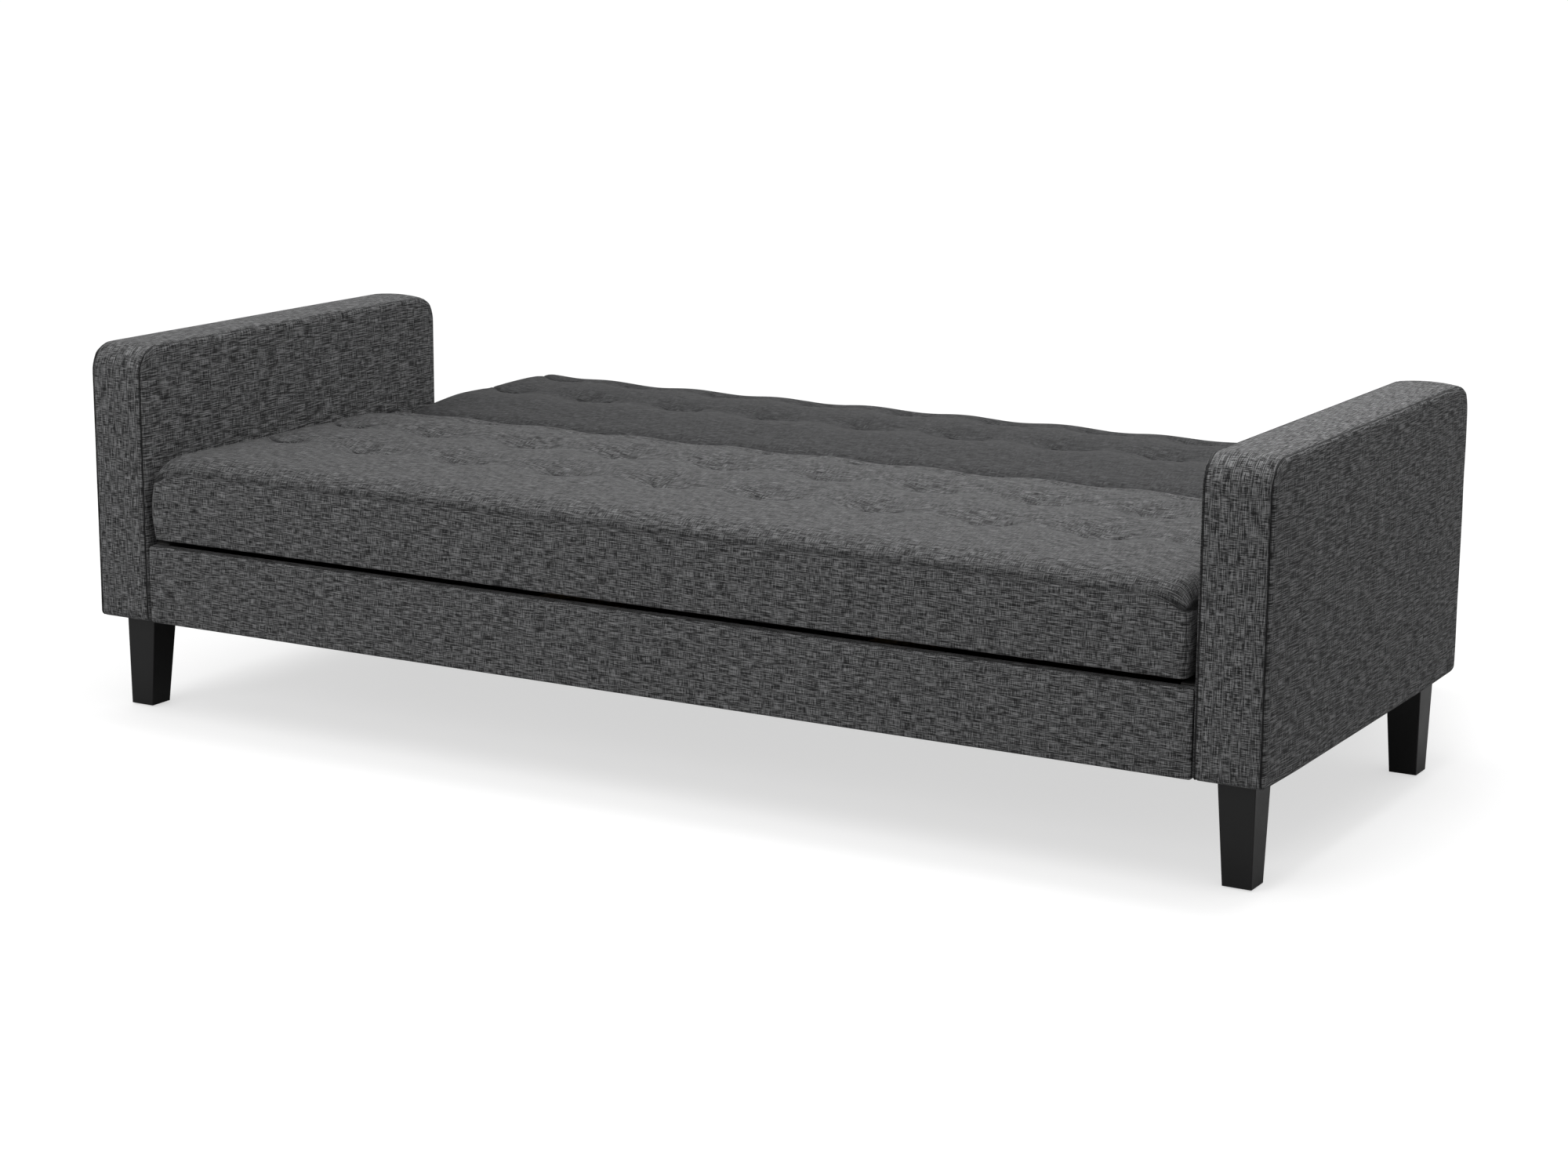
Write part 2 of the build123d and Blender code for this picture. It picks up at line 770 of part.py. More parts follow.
def make_support_brackets():
    """Steel channels under the back, open towards the middle so that each leg folds inwards."""
    gap = support_tube / 2 + ear_gap
    low = support_pivot_z - ear_below
    with BuildPart() as brackets:
        for side in (-1, 1):
            x_ends = sorted((side * (support_x - bracket_half[0]), side * (support_x + bracket_half[0])))
            box_between(
                (x_ends[0], support_y - bracket_half[1], back_bottom - plate),
                (x_ends[1], support_y + bracket_half[1], back_bottom),
            )
            x_ends = sorted((side * (support_x - ear_inner_reach), side * (support_x + gap + ear)))
            for y_low in (support_y - gap - ear, support_y + gap):
                box_between((x_ends[0], y_low, low), (x_ends[1], y_low + ear, back_bottom - plate))
            x_ends = sorted((side * (support_x + gap), side * (support_x + gap + ear)))
            box_between((x_ends[0], support_y - gap, low), (x_ends[1], support_y + gap, back_bottom - plate))
        with Locations(*[(side * support_x, support_y, support_pivot_z) for side in (-1, 1)]):
            Cylinder(support_pin, 3 * support_tube, rotation=(90, 0, 0), mode=Mode.SUBTRACT)
    return brackets.part


def make_support_pins():
    """Rivets through the brackets' ears."""
    head_radius, head_height = rivet_head
    reach = support_tube / 2 + ear_gap + ear + 1
    with BuildPart() as pins:
        for side in (-1, 1):
            with Locations((side * support_x, support_y, support_pivot_z)):
                Cylinder(support_pin, 2 * reach, rotation=(90, 0, 0))
            for way in (-1, 1):
                head_y = support_y + way * (reach + head_height / 2 - 1)
                with Locations((side * support_x, head_y, support_pivot_z)):
                    Cylinder(head_radius, head_height, rotation=(90, 0, 0))
    return pins.part


def make_support_leg():
    """Square steel tube with a rounded upper end, turning on the bracket's pin."""
    bottom = support_foot[2] - cap_depth
    hollow_top = support_pivot_z - solid_end
    bore = support_tube - 2 * support_wall
    half = support_tube / 2
    with BuildPart() as leg:
        with BuildSketch(Plane.XZ.offset(-(support_y + half))):
            with Locations((support_x, (bottom + support_pivot_z) / 2)):
                Rectangle(support_tube, support_pivot_z - bottom)
            with Locations((support_x, support_pivot_z)):
                Circle(half)
        extrude(amount=support_tube)
        with Locations((support_x, support_y, (bottom + hollow_top) / 2)):
            Box(bore, bore, hollow_top - bottom, mode=Mode.SUBTRACT)
        with Locations((support_x, support_y, support_pivot_z)):
            Cylinder(support_pin + running, 2 * support_tube, rotation=(90, 0, 0), mode=Mode.SUBTRACT)
    return leg.part


def make_support_foot():
    """Rubber cap on the tube's end."""
    with BuildPart() as cap:
        with Locations((support_x, support_y, support_foot[2] / 2)):
            Box(*support_foot)
        fillet(cap.edges().filter_by(Axis.Z), cap_edge)
        low = support_foot[2] - cap_depth
        half = support_tube / 2
        box_between(
            (support_x - half, support_y - half, low),
            (support_x + half, support_y + half, support_foot[2]),
            Mode.SUBTRACT,
        )
    return cap.part


# ---------------------------------------------------------------- write every piece


def write_arms():
    save_pair(make_arm_cover(), "arm_cover")
    save_pair(make_arm_frame(), "arm_frame")
    save_both(make_arm_inner_panel(), "arm_inner_panels")
    save_both(make_arm_outer_panel(), "arm_outer_panels")
    save_both(make_arm_base_board(), "arm_base_boards")


def write_legs():
    save_pair(make_leg(front_leg_y), "leg_front")
    save_pair(make_leg(rear_leg_y), "leg_rear")
    save(make_leg_glides(), "leg_glides")
    save_both(make_hanger_bolts(), "leg_hanger_bolts")
    save_both(make_tee_nuts(), "tee_nuts")
    save_both(make_arm_bolts(), "arm_bolts")


def write_base():
    front_board = make_apron_board(front_board_y)
    rear_board = make_apron_board(rear_board_y)
    save(front_board, "front_apron_board")
    save(rear_board, "rear_apron_board")
    front_end = front_board_y + apron_board
    save(make_apron_cover(apron_front, front_end, apron_front, front_board), "front_apron_cover")
    save(make_apron_cover(rear_board_y, rear_apron_face, rear_apron_face, rear_board), "rear_apron_cover")
    save_pair(make_side_rail(), "side_rail")
    save(make_base_cross_rails(), "base_cross_rails")
    save(make_storage_floor(), "storage_floor")
    save(make_corner_brackets(), "corner_brackets")
    save(make_seat_bumpers(), "seat_bumpers")


def write_seat():
    y_low = front + fabric
    y_high = front + seat_depth - fabric
    inner_low = y_low + rail_width
    inner_high = y_high - rail_width
    save(make_cover(seat_solid), "seat_cover")
    save(make_foam(seat_solid, seat_bottom), "seat_foam")
    save(make_long_rail(seat_solid, seat_bottom, y_low, inner_low), "seat_front_rail")
    save(make_long_rail(seat_solid, seat_bottom, inner_high, y_high), "seat_rear_rail")
    places = cross_places((-2 * strap_pitch, 0, 2 * strap_pitch))
    rails = make_cross_rails(seat_solid, seat_bottom, inner_low, inner_high, places)
    save(drill_for_screws(rails, seat_screws(), seat_bottom), "seat_cross_rails")
    save(make_webbing(y_low, y_high, seat_bottom), "seat_webbing")
    save(make_dust_cloth(seat_bottom, y_low + cloth_edge, y_high - cloth_edge), "seat_dust_cloth")
    save(make_plate_screws(seat_screws(), seat_bottom), "seat_plate_screws")


def write_back():
    y_low = back_start + fabric
    y_high = -front - fabric
    inner_low = y_low + rail_width
    inner_high = y_high - back_corner
    save(make_cover(back_solid), "back_cover")
    save(make_foam(back_solid, back_bottom), "back_foam")
    save(make_long_rail(back_solid, back_bottom, y_low, inner_low), "back_front_rail")
    save(make_long_rail(back_solid, back_bottom, inner_high, y_high), "back_rear_rail")
    places = cross_places((-support_x, -2 * strap_pitch, 0, 2 * strap_pitch, support_x))
    rails = make_cross_rails(back_solid, back_bottom, inner_low, inner_high, places)
    save(drill_for_screws(rails, back_screws(), back_bottom), "back_cross_rails")
    save(make_webbing(y_low, y_high, back_bottom), "back_webbing")
    cloth = make_dust_cloth(back_bottom, y_low + cloth_edge, y_high - cloth_edge)
    save(cut_round_brackets(cloth), "back_dust_cloth")
    save(make_plate_screws(back_screws(), back_bottom), "back_plate_screws")


def write_hinges():
    save_pair(make_base_plate(), "hinge_base_plate")
    save_pair(make_seat_plate(), "hinge_seat_plate")
    save_pair(make_back_plate(), "hinge_back_plate")
    save_pair(make_pivot_pin(), "hinge_pin")
    save_pair(make_pawl(), "pawl")
    save_both(make_pawl_pin(), "pawl_pins")
    save_both(make_pawl_spring(), "pawl_springs")


def write_support_legs():
    save(make_support_brackets(), "support_brackets")
    save(make_support_pins(), "support_pins")
    save_pair(make_support_leg(), "support_leg")
    save_pair(make_support_foot(), "support_foot")


os.makedirs("parts", exist_ok=True)
write_arms()
write_legs()
write_base()
write_seat()
write_back()
write_hinges()
write_support_legs()
print(len(saved), "nodes")
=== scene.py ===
"""Looks of the futon sofa bed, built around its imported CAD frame. Metres, +X right, -Y front, +Z up."""

import json
import math

import bmesh
import bpy
import numpy as np
from mathutils import Matrix, Vector


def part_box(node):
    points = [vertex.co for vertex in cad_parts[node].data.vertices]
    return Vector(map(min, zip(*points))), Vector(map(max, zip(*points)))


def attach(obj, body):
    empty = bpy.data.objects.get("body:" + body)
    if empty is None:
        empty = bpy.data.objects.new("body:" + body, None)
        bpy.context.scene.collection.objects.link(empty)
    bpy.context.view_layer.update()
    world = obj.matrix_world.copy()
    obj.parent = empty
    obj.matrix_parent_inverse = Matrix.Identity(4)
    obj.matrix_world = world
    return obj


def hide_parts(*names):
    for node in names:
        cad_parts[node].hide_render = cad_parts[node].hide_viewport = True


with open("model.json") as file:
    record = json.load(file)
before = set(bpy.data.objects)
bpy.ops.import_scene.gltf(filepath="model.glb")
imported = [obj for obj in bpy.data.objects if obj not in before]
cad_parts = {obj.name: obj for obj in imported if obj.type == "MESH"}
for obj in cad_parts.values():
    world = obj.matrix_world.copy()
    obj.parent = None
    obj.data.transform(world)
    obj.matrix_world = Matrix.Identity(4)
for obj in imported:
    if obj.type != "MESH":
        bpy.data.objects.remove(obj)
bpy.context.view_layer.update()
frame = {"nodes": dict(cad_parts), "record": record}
nodes = frame["nodes"]

# ---- the view: a camera at the height of a standing photographer, to the right of the front ----
CAMERA_PLACE = Vector((2.5416, -4.5451, 1.3589))
CAMERA_AZIMUTH = math.radians(29.75)
CAMERA_ELEVATION = math.radians(12.45)
CAMERA_ROLL = math.radians(0.38)
CAMERA_LENS = 74.47  # mm on a 36 mm sensor

# ---- sewing ----
SEAM_DEPTH = 0.0016
SEAM_WIDTH = 0.0030
PANEL_STEP = 0.0060
BOXING_STEP = 0.012

# ---- tufts, one under each crossing of the stitching grid ----
TUFT_PITCH = 0.188
TUFT_COLUMNS = 10
SEAT_TUFT_ROWS = (0.257, 0.441, 0.612)  # from the seat's front face
BACK_TUFT_ROWS = (0.251, 0.424)  # from the hinge-side edge of the back
TUFT_DEPTH = 0.0135
TUFT_REACH = 0.046
PINCH_DEPTH = 0.0022
PINCH_REACH = 0.008
CREASE_DEPTH = 0.0078
CREASE_HALF_WIDTH = 0.0042
CREASE_BOW = 0.021
CREASE_SPREAD = 0.026
PLEATS = 5
PLEAT_HEIGHT = 0.0004
TUFT_STEP = 0.0022  # mesh spacing in the tufts
# how dark the painted shade in the tuft creases is, from 0 to 1
FOLD_SHADE = 0.95
END_SWELL = 0.0055  # of the cushion ends towards the arms
END_SWELL_REACH = 0.42  # from the front, short of the hinge plates
SEAT_END_DIP = 0.017  # of the top seam at the cushion's ends
BACK_END_DIP = 0.003

# ---- cushions ----
CUSHION_END_GAP = 0.0006  # between a cushion's end and its CAD solid's
TUFT_ZONE = 0.030  # round each tuft, where the mesh is fine
TOP_WAVE = 0.0012
VALLEY_DEPTH = 0.0045  # along each row of tufts
VALLEY_REACH = 0.032
SEAM_DIP_REACH = 0.032  # how far in from the ends the top seam dips
TOP_DIP_REACH = 0.05
TOP_DIP_SHARE = 0.35  # how much of the seam's dip the top follows
FIRM_REACH = 0.13  # from the ends, where the wide dimples fade out
BOXING_BULGE = 0.0022
BOXING_WAVE = 0.0009

# ---- arms and aprons ----
COARSE_STEP = 0.010  # mesh spacing on the arms and up the aprons
APRON_STEP = 0.012  # and along the aprons
ARM_EDGE = 0.008
ARM_PUFF = 0.0025
ARM_INSET = 0.0045  # of a panel's edge from its face
ARM_CORNERS = (0.010, 0.016, 0.046, 0.046)
ARM_WAVE = 0.0010
STRIP_WAVE = 0.0014
APRON_EDGE = 0.005
APRON_CORNERS = (0.005, 0.005, 0.006, 0.006)
APRON_PUFF = 0.0016
APRON_WAVE = 0.0012

# ---- dust sheets ----
SEAT_SHEET_SAG = 0.004
BACK_SHEET_SAG = 0.0008  # less, so that it stays clear of the folded support legs
SHEET_POINTS = (130, 44)
BRACKET_CLEARANCE = 0.006

# ---- light and floor ----
WHITE = (1.0, 1.0, 1.0, 1.0)
WORLD_FILL = 0.53
CEILING_POWER = 1.85
OVERHEAD_POWER = 27.0
FRONT_LEFT_POWER = 82.0
FLOOR_GLOW = 0.61
FLOOR_REACH = 60.0  # from the middle to each side

# ---- linen: its colours, and the length and width of its streaks ----
THREAD = 0.0017  # pitch of the plain weave
LINEN_DARK = (0.0110, 0.0110, 0.0114)
LINEN_LIGHT = (0.168, 0.1687, 0.171)  # the arms, the aprons and the seat's boxing
# painted shade: the seat's panels in the same linen made darker, to tone down the light falling on its top
LINEN_TOP_SHADED = (0.126, 0.1266, 0.1283)  # the seat's top
# painted shade: the back cushion in the same linen, much darker, for the shade it lies in behind the seat
LINEN_BACK_SHADED = (0.058, 0.0585, 0.0600)
# near-black colour of the painted shade in the seams and the tuft creases
LINEN_PAINTED_SHADE = (0.003, 0.003, 0.0033)
WEFT_STREAK = (0.0190, 0.0009)
WARP_STREAK = (0.0140, 0.0009)
SLUB_STREAK = (0.033, 0.0012)
STREAK_WEIGHT = 3.4
SLUB_WEIGHT = 2.0
PATCH_WEIGHT = 0.2
MEAN_TONE = 0.42
TONE_CURVE = 1.5


# ---------------------------------------------------------------- mesh building


def edge_rise(distance, radius):
    """Quarter ellipse: 0 on the seam and 1 from radius inwards."""
    t = np.clip(distance / radius, 0.0, 1.0)
    return np.sqrt(1.0 - (1.0 - t) ** 2)


def smooth(t):
    """Smooth step from 0 to 1."""
    t = np.clip(t, 0.0, 1.0)
    return t * t * (3.0 - 2.0 * t)


def edge_angles(turns):
    """Angles over a rounded edge."""
    return np.linspace(0.0, math.pi / 2, turns + 1)


def spaced(low, high, step, low_radius, high_radius, turns=8, dense=(), dense_step=0.0, reach=0.0):
    """Positions from low to high: close together in the rounded edges and within reach of each place in
    dense, and evenly spaced between."""
    start = low + low_radius * (1.0 - np.cos(edge_angles(turns)))
    stop = high - high_radius * (1.0 - np.cos(edge_angles(turns)[::-1]))
    places = [start[-1]]
    while places[-1] < stop[0]:
        close = any(abs(places[-1] + step / 2 - centre) < reach for centre in dense)
        places.append(places[-1] + (dense_step if close else step))
    middle = np.array(places)
    middle = start[-1] + (middle - start[-1]) * (stop[0] - start[-1]) / (middle[-1] - start[-1])
    return np.concatenate([start, middle[1:-1], stop])


def round_corners(a, b, box, radii):
    """Maps a rectangle's corners to quarter circles. box is (low a, high a, low b, high b), radii are of the
    corners at (low a, low b), (high a, low b), (low a, high b) and (high a, high b)."""
    a = a.copy()
    b = b.copy()
    corners = [(0, 2), (1, 2), (0, 3), (1, 3)]
    for (ka, kb), radius in zip(corners, radii):
        way_a = -1.0 if ka == 0 else 1.0
        way_b = -1.0 if kb == 2 else 1.0
        centre_a = box[ka] - way_a * radius
        centre_b = box[kb] - way_b * radius
        u = (a - centre_a) * way_a / radius
        v = (b - centre_b) * way_b / radius
        inside = (u > 0) & (v > 0)
        u = np.clip(u, 0.0, 1.0)
        v = np.clip(v, 0.0, 1.0)
        a = np.where(inside, centre_a + way_a * radius * u * np.sqrt(1.0 - v * v / 2.0), a)
        b = np.where(inside, centre_b + way_b * radius * v * np.sqrt(1.0 - u * u / 2.0), b)
    return a, b


def loop_of(grid):
    """The boundary of a grid of vertex numbers, anticlockwise with a to the right and b up."""
    return np.concatenate([grid[:-1, 0], grid[-1, :-1], grid[:0:-1, -1], grid[0, :0:-1]])


class Sewn:
    """A closed form sewn from two panels and a strip of boxing between them.

    The panels are grids over a rounded rectangle in the plane of a and b, and c is the thickness. Every face
    corner keeps its place on the cloth in metres, so that the weave runs along the panel it is on, and every
    vertex keeps how near it is to a seam, which sets how far the seam is drawn in and how much painted shade
    the seams and the tuft creases get.
    """

    def __init__(self, a_line, b_line, box, radii):
        self.a0, self.b0 = np.meshgrid(a_line, b_line, indexing="ij")
        self.a, self.b = round_corners(self.a0, self.b0, box, radii)
        self.points = []
        self.seam = []
        self.faces = []
        self.cloth = []
        self.slots = []
        self.count = 0

    def add_points(self, points, seam):
        numbers = np.arange(self.count, self.count + len(points))
        self.points.append(points)
        self.seam.append(np.broadcast_to(seam, len(points)).astype(float))
        self.count += len(points)
        return numbers

    def add_quads(self, corners, cloth, slot=0):
        """corners and cloth are lists of four arrays: vertex numbers, and the place on the cloth."""
        self.faces.append(np.stack(corners, axis=-1).reshape(-1, 4))
        self.cloth.append(np.stack(cloth, axis=-2).reshape(-1, 4, 2))
        self.slots.append(np.full(len(self.faces[-1]), slot))

    def panel(self, c, up, shift=(0.0, 0.0), strength=1.0, fold=0.0):
        """A panel at height c, facing +c where up. strength is how marked the seam round it is, from 0 to 1,
        in painted shade and in how far the seam is drawn in, and fold how much painted shade goes where the
        cloth is folded in. Returns its grid of vertex numbers."""
        # the two rings at the panel's edge: painted seam shade, and how far the seam is drawn in
        edge = np.zeros(c.shape)
        edge[[0, 1, -2, -1], :] = 1.0
        edge[:, [0, 1, -2, -1]] = 1.0
        edge = np.maximum(edge * strength, fold)
        points = np.stack([self.a, self.b, c], axis=-1)
        numbers = self.add_points(points.reshape(-1, 3), edge.reshape(-1)).reshape(c.shape)
        middle_a = points[:, c.shape[1] // 2]
        middle_b = points[c.shape[0] // 2]
        run_a = np.concatenate([[0.0], np.cumsum(np.linalg.norm(np.diff(middle_a, axis=0), axis=1))])
        run_b = np.concatenate([[0.0], np.cumsum(np.linalg.norm(np.diff(middle_b, axis=0), axis=1))])
        place = np.stack(np.meshgrid(run_a + shift[0], run_b + shift[1], indexing="ij"), axis=-1)
        cell = [(slice(None, -1), slice(None, -1)), (slice(1, None), slice(None, -1))]
        cell += [(slice(1, None), slice(1, None)), (slice(None, -1), slice(1, None))]
        if not up:
            cell = cell[::-1]
        self.add_quads([numbers[k] for k in cell], [place[k] for k in cell])
        return numbers

    def boxing(self, low_grid, high_grid, bulge, rows, corner_seams=False, shift=(3.0, 3.0)):
        """The strip between the panels' edges. bulge(a, b, t) is how far it stands out, at t from 0, low, to
        1, high. The two seam lines are drawn in by the seam's depth, and so are seams up the four corners."""
        points = np.concatenate(self.points)
        low_loop = loop_of(low_grid)
        high_loop = loop_of(high_grid)
        low = points[low_loop]
        high = points[high_loop]
        ahead = np.roll(high, -1, axis=0) - np.roll(high, 1, axis=0)
        out = np.stack([ahead[:, 1], -ahead[:, 0], np.zeros(len(ahead))], axis=-1)
        out /= np.linalg.norm(out, axis=1, keepdims=True)
        run = np.concatenate([[0.0], np.cumsum(np.linalg.norm(np.diff(high, axis=0), axis=1))])
        run = np.append(run, run[-1] + np.linalg.norm(high[0] - high[-1]))
        height = np.linalg.norm(high - low, axis=1)
        near = SEAM_WIDTH / height.mean()
        steps = np.concatenate([[near], np.linspace(near, 1.0 - near, rows)[1:-1], [1.0 - near]])
        corner = np.zeros(len(low))
        if corner_seams:
            wide, deep = low_grid.shape
            # painted shade up the corner seams, which are drawn in as well
            corner[[0, wide - 1, wide + deep - 2, 2 * wide + deep - 3]] = 0.8
        rings = [low_loop]
        levels = [np.zeros(len(low))]
        for t in steps:
            stand = bulge(low[:, 0], low[:, 1], t) - SEAM_DEPTH * corner
            middle = low + (high - low) * t + out * stand[:, None]
            rings.append(self.add_points(middle, corner))
            levels.append(height * t)
        rings.append(high_loop)
        levels.append(height)
        for grid_loop in (low_loop, high_loop):
            self.draw_in(grid_loop, out)
        for k in range(len(rings) - 1):
            here, there = rings[k], rings[k + 1]
            corners = [here, np.roll(here, -1), np.roll(there, -1), there]
            last = np.roll(levels[k], -1)
            past = np.roll(levels[k + 1], -1)
            places = [(run[:-1], levels[k]), (run[1:], last), (run[1:], past), (run[:-1], levels[k + 1])]
            cloth = [np.stack([u + shift[0], v + shift[1]], axis=-1) for u, v in places]
            self.add_quads(corners, cloth, slot=1)

    def draw_in(self, numbers, out):
        """Moves seam vertices in by the seam's depth, as far as the seam is marked."""
        start = 0
        for block, marked in zip(self.points, self.seam):
            local = numbers - start
            inside = (local >= 0) & (local < len(block))
            block[local[inside]] -= out[inside] * SEAM_DEPTH * marked[local[inside]][:, None]
            start += len(block)

    def object(self, name, place, slots):
        """The finished mesh object. place(points) gives row-frame coordinates."""
        points = place(np.concatenate(self.points))
        faces = np.concatenate(self.faces)
        cloth = np.concatenate(self.cloth)
        mesh = bpy.data.meshes.new(name)
        mesh.from_pydata(points.tolist(), [], faces.tolist())
        weave = mesh.attributes.new("weave", "FLOAT_VECTOR", "CORNER")
        data = np.zeros((cloth.size // 2, 3), np.float32)
        data[:, :2] = cloth.reshape(-1, 2)
        weave.data.foreach_set("vector", data.reshape(-1))
        seam = mesh.attributes.new("seam", "FLOAT", "POINT")
        seam.data.foreach_set("value", np.concatenate(self.seam).astype(np.float32))
        mesh.polygons.foreach_set("use_smooth", np.ones(len(faces), bool))
        for material in slots:
            mesh.materials.append(material)
        mesh.polygons.foreach_set("material_index", np.minimum(np.concatenate(self.slots), len(slots) - 1))
        mesh.validate()
        mesh.update()
        thing = bpy.data.objects.new(name, mesh)
        bpy.context.scene.collection.objects.link(thing)
        return thing


def orient_outwards(thing):
    """Turns every face so that a closed mesh's volume is positive."""
    made = bmesh.new()
    made.from_mesh(thing.data)
    bmesh.ops.recalc_face_normals(made, faces=made.faces)
    made.to_mesh(thing.data)
    made.free()


def ripple(x, y, lengths, seed):
    """Gentle seeded unevenness between about -1 and 1, a sum of a few slanted waves."""
    random = np.random.default_rng(seed)
    total = np.zeros(np.broadcast(x, y).shape)
    for length in lengths:
        angle = random.uniform(0.0, math.pi, 3)
        phase = random.uniform(0.0, 2 * math.pi, 3)
        for k in range(3):
            along = x * math.cos(angle[k]) + y * math.sin(angle[k])
            total += np.sin(2 * math.pi * along / length + phase[k])
    return total / (3 * len(lengths))


# ---------------------------------------------------------------- materials


class Nodes:
    """Short names for building a material's node tree."""

    def __init__(self, name):
        self.material = bpy.data.materials.new(name)
        self.material.use_nodes = True
        self.tree = self.material.node_tree
        self.shader = self.tree.nodes["Principled BSDF"]

    def node(self, kind, inputs=(), **settings):
        made = self.tree.nodes.new(kind)
        for key, value in settings.items():
            setattr(made, key, value)
        for key, value in dict(inputs).items():
            if isinstance(value, bpy.types.NodeSocket):
                self.tree.links.new(value, made.inputs[key])
            else:
                made.inputs[key].default_value = value
        return made

    def link(self, output, key):
        self.tree.links.new(output, self.shader.inputs[key])

    def put(self, key, value):
        self.shader.inputs[key].default_value = value

    def scaled(self, vector, scale):
        return self.node("ShaderNodeMapping", {"Vector": vector, "Scale": scale}).outputs["Vector"]

    def noise(self, vector, scale, detail=2.0, roughness=0.5):
        inputs = {"Vector": vector, "Scale": scale, "Detail": detail, "Roughness": roughness}
        return self.node("ShaderNodeTexNoise", inputs).outputs["Fac"]

    def math(self, operation, first, second=0.0, clamp=False):
        made = self.node("ShaderNodeMath", {0: first, 1: second}, operation=operation, use_clamp=clamp)
        return made.outputs["Value"]

    def mix(self, factor, low, high):
        made = self.node("ShaderNodeMix", {"Factor": factor}, data_type="RGBA")
        for key, value in (("A", low), ("B", high)):
            socket = next(s for s in made.inputs if s.name == key and s.type == "RGBA")
            if isinstance(value, bpy.types.NodeSocket):
                self.tree.links.new(value, socket)
            else:
                socket.default_value = (*value, 1.0)
        return next(s for s in made.outputs if s.type == "RGBA")

    def bump(self, height, distance, strength=1.0):
        inputs = {"Height": height, "Distance": distance, "Strength": strength}
        self.link(self.node("ShaderNodeBump", inputs).outputs["Normal"], "Normal")


def linen_weave(name, across=0.75, light=LINEN_LIGHT, seam_shade=0.75, coarse=1.0):
    """Two-tone heathered linen: dark and light slubs along the weft and across it, over a plain weave. across
    is how strong the warp's streaks are, seam_shade how dark the painted shade in the seams and the tuft
    creases is, and coarse the weave's scale."""
    n = Nodes(name)
    cloth = n.node("ShaderNodeAttribute", attribute_name="weave").outputs["Vector"]
    threads = n.scaled(cloth, (1 / coarse,) * 3)
    seam = n.node("ShaderNodeAttribute", attribute_name="seam").outputs["Fac"]
    weft = n.noise(n.scaled(threads, (1 / WEFT_STREAK[0], 1 / WEFT_STREAK[1], 1.0)), 1.0, 1.0, 0.5)
    warp = n.noise(n.scaled(threads, (1 / WARP_STREAK[1], 1 / WARP_STREAK[0], 1.0)), 1.0, 1.0, 0.5)
    slubs = n.noise(n.scaled(threads, (1 / SLUB_STREAK[0], 1 / SLUB_STREAK[1], 1.0)), 1.0, 1.0, 0.6)
    patches = n.noise(cloth, 30.0, 2.0, 0.6)
    streaks = [(weft, STREAK_WEIGHT), (warp, STREAK_WEIGHT * across)]
    tone = MEAN_TONE
    for grey, weight in streaks + [(slubs, SLUB_WEIGHT), (patches, PATCH_WEIGHT)]:
        tone = n.math("ADD", n.math("MULTIPLY", n.math("SUBTRACT", grey, 0.5), weight), tone)
    tone = n.math("ADD", tone, 0.0, clamp=True)
    colour = n.mix(n.math("POWER", tone, TONE_CURVE), LINEN_DARK, light)
    # painted shade: the seams and the tuft creases darkened towards a near-black colour
    painted_shade = n.math("MULTIPLY", seam, seam_shade, clamp=True)
    n.link(n.mix(painted_shade, colour, LINEN_PAINTED_SHADE), "Base Color")
    parts = n.node("ShaderNodeSeparateXYZ", {"Vector": n.scaled(cloth, (2 * math.pi / THREAD,) * 3)})
    sines = [n.math("SINE", parts.outputs[k]) for k in ("X", "Y")]
    plain = n.math("MULTIPLY", sines[0], sines[1])
    height = n.math("ADD", n.math("MULTIPLY", plain, 0.35), n.math("ADD", weft, warp))
    n.bump(height, 0.0002, 0.5)
    n.link(n.math("ADD", n.math("MULTIPLY", tone, -0.08), 0.94), "Roughness")
    n.put("Specular IOR Level", 0.2)
    n.put("Sheen Weight", 0.05)
    n.put("Sheen Roughness", 0.4)
    return n.material


def object_place(n):
    return n.node("ShaderNodeTexCoord").outputs["Object"]


def black_lacquer():
    """Satin black lacquer over straight-grained wood."""
    n = Nodes("black_lacquer")
    place = object_place(n)
    grain = n.noise(n.scaled(place, (260.0, 260.0, 9.0)), 1.0, 4.0, 0.6)
    broad = n.noise(place, 22.0, 2.0)
    n.link(n.mix(grain, (0.0020, 0.0020, 0.0022), (0.0042, 0.0042, 0.0044)), "Base Color")
    n.link(n.math("ADD", n.math("MULTIPLY", broad, 0.16), 0.30), "Roughness")
    n.put("Specular IOR Level", 0.3)
    n.put("Coat Weight", 0.10)
    n.put("Coat Roughness", 0.35)
    n.bump(grain, 0.0002, 0.35)
    return n.material


def softwood(name="softwood", early=(0.62, 0.46, 0.28), late=(0.42, 0.27, 0.14)):
    """Planed softwood with growth rings and darker latewood."""
    n = Nodes(name)
    place = object_place(n)
    wobble = n.noise(n.scaled(place, (3.0, 9.0, 9.0)), 1.0, 3.0)
    bands = n.node("ShaderNodeTexWave", {"Vector": n.scaled(place, (0.6, 9.0, 9.0)), "Scale": 7.0,
                                         "Distortion": 5.0, "Detail": 2.0, "Detail Scale": 1.2})
    ring = n.math("MULTIPLY", bands.outputs["Fac"], 0.7)
    tone = n.math("ADD", ring, n.math("MULTIPLY", wobble, 0.3), clamp=True)
    n.link(n.mix(tone, late, early), "Base Color")
    n.put("Roughness", 0.72)
    n.bump(bands.outputs["Fac"], 0.0004, 0.3)
    return n.material


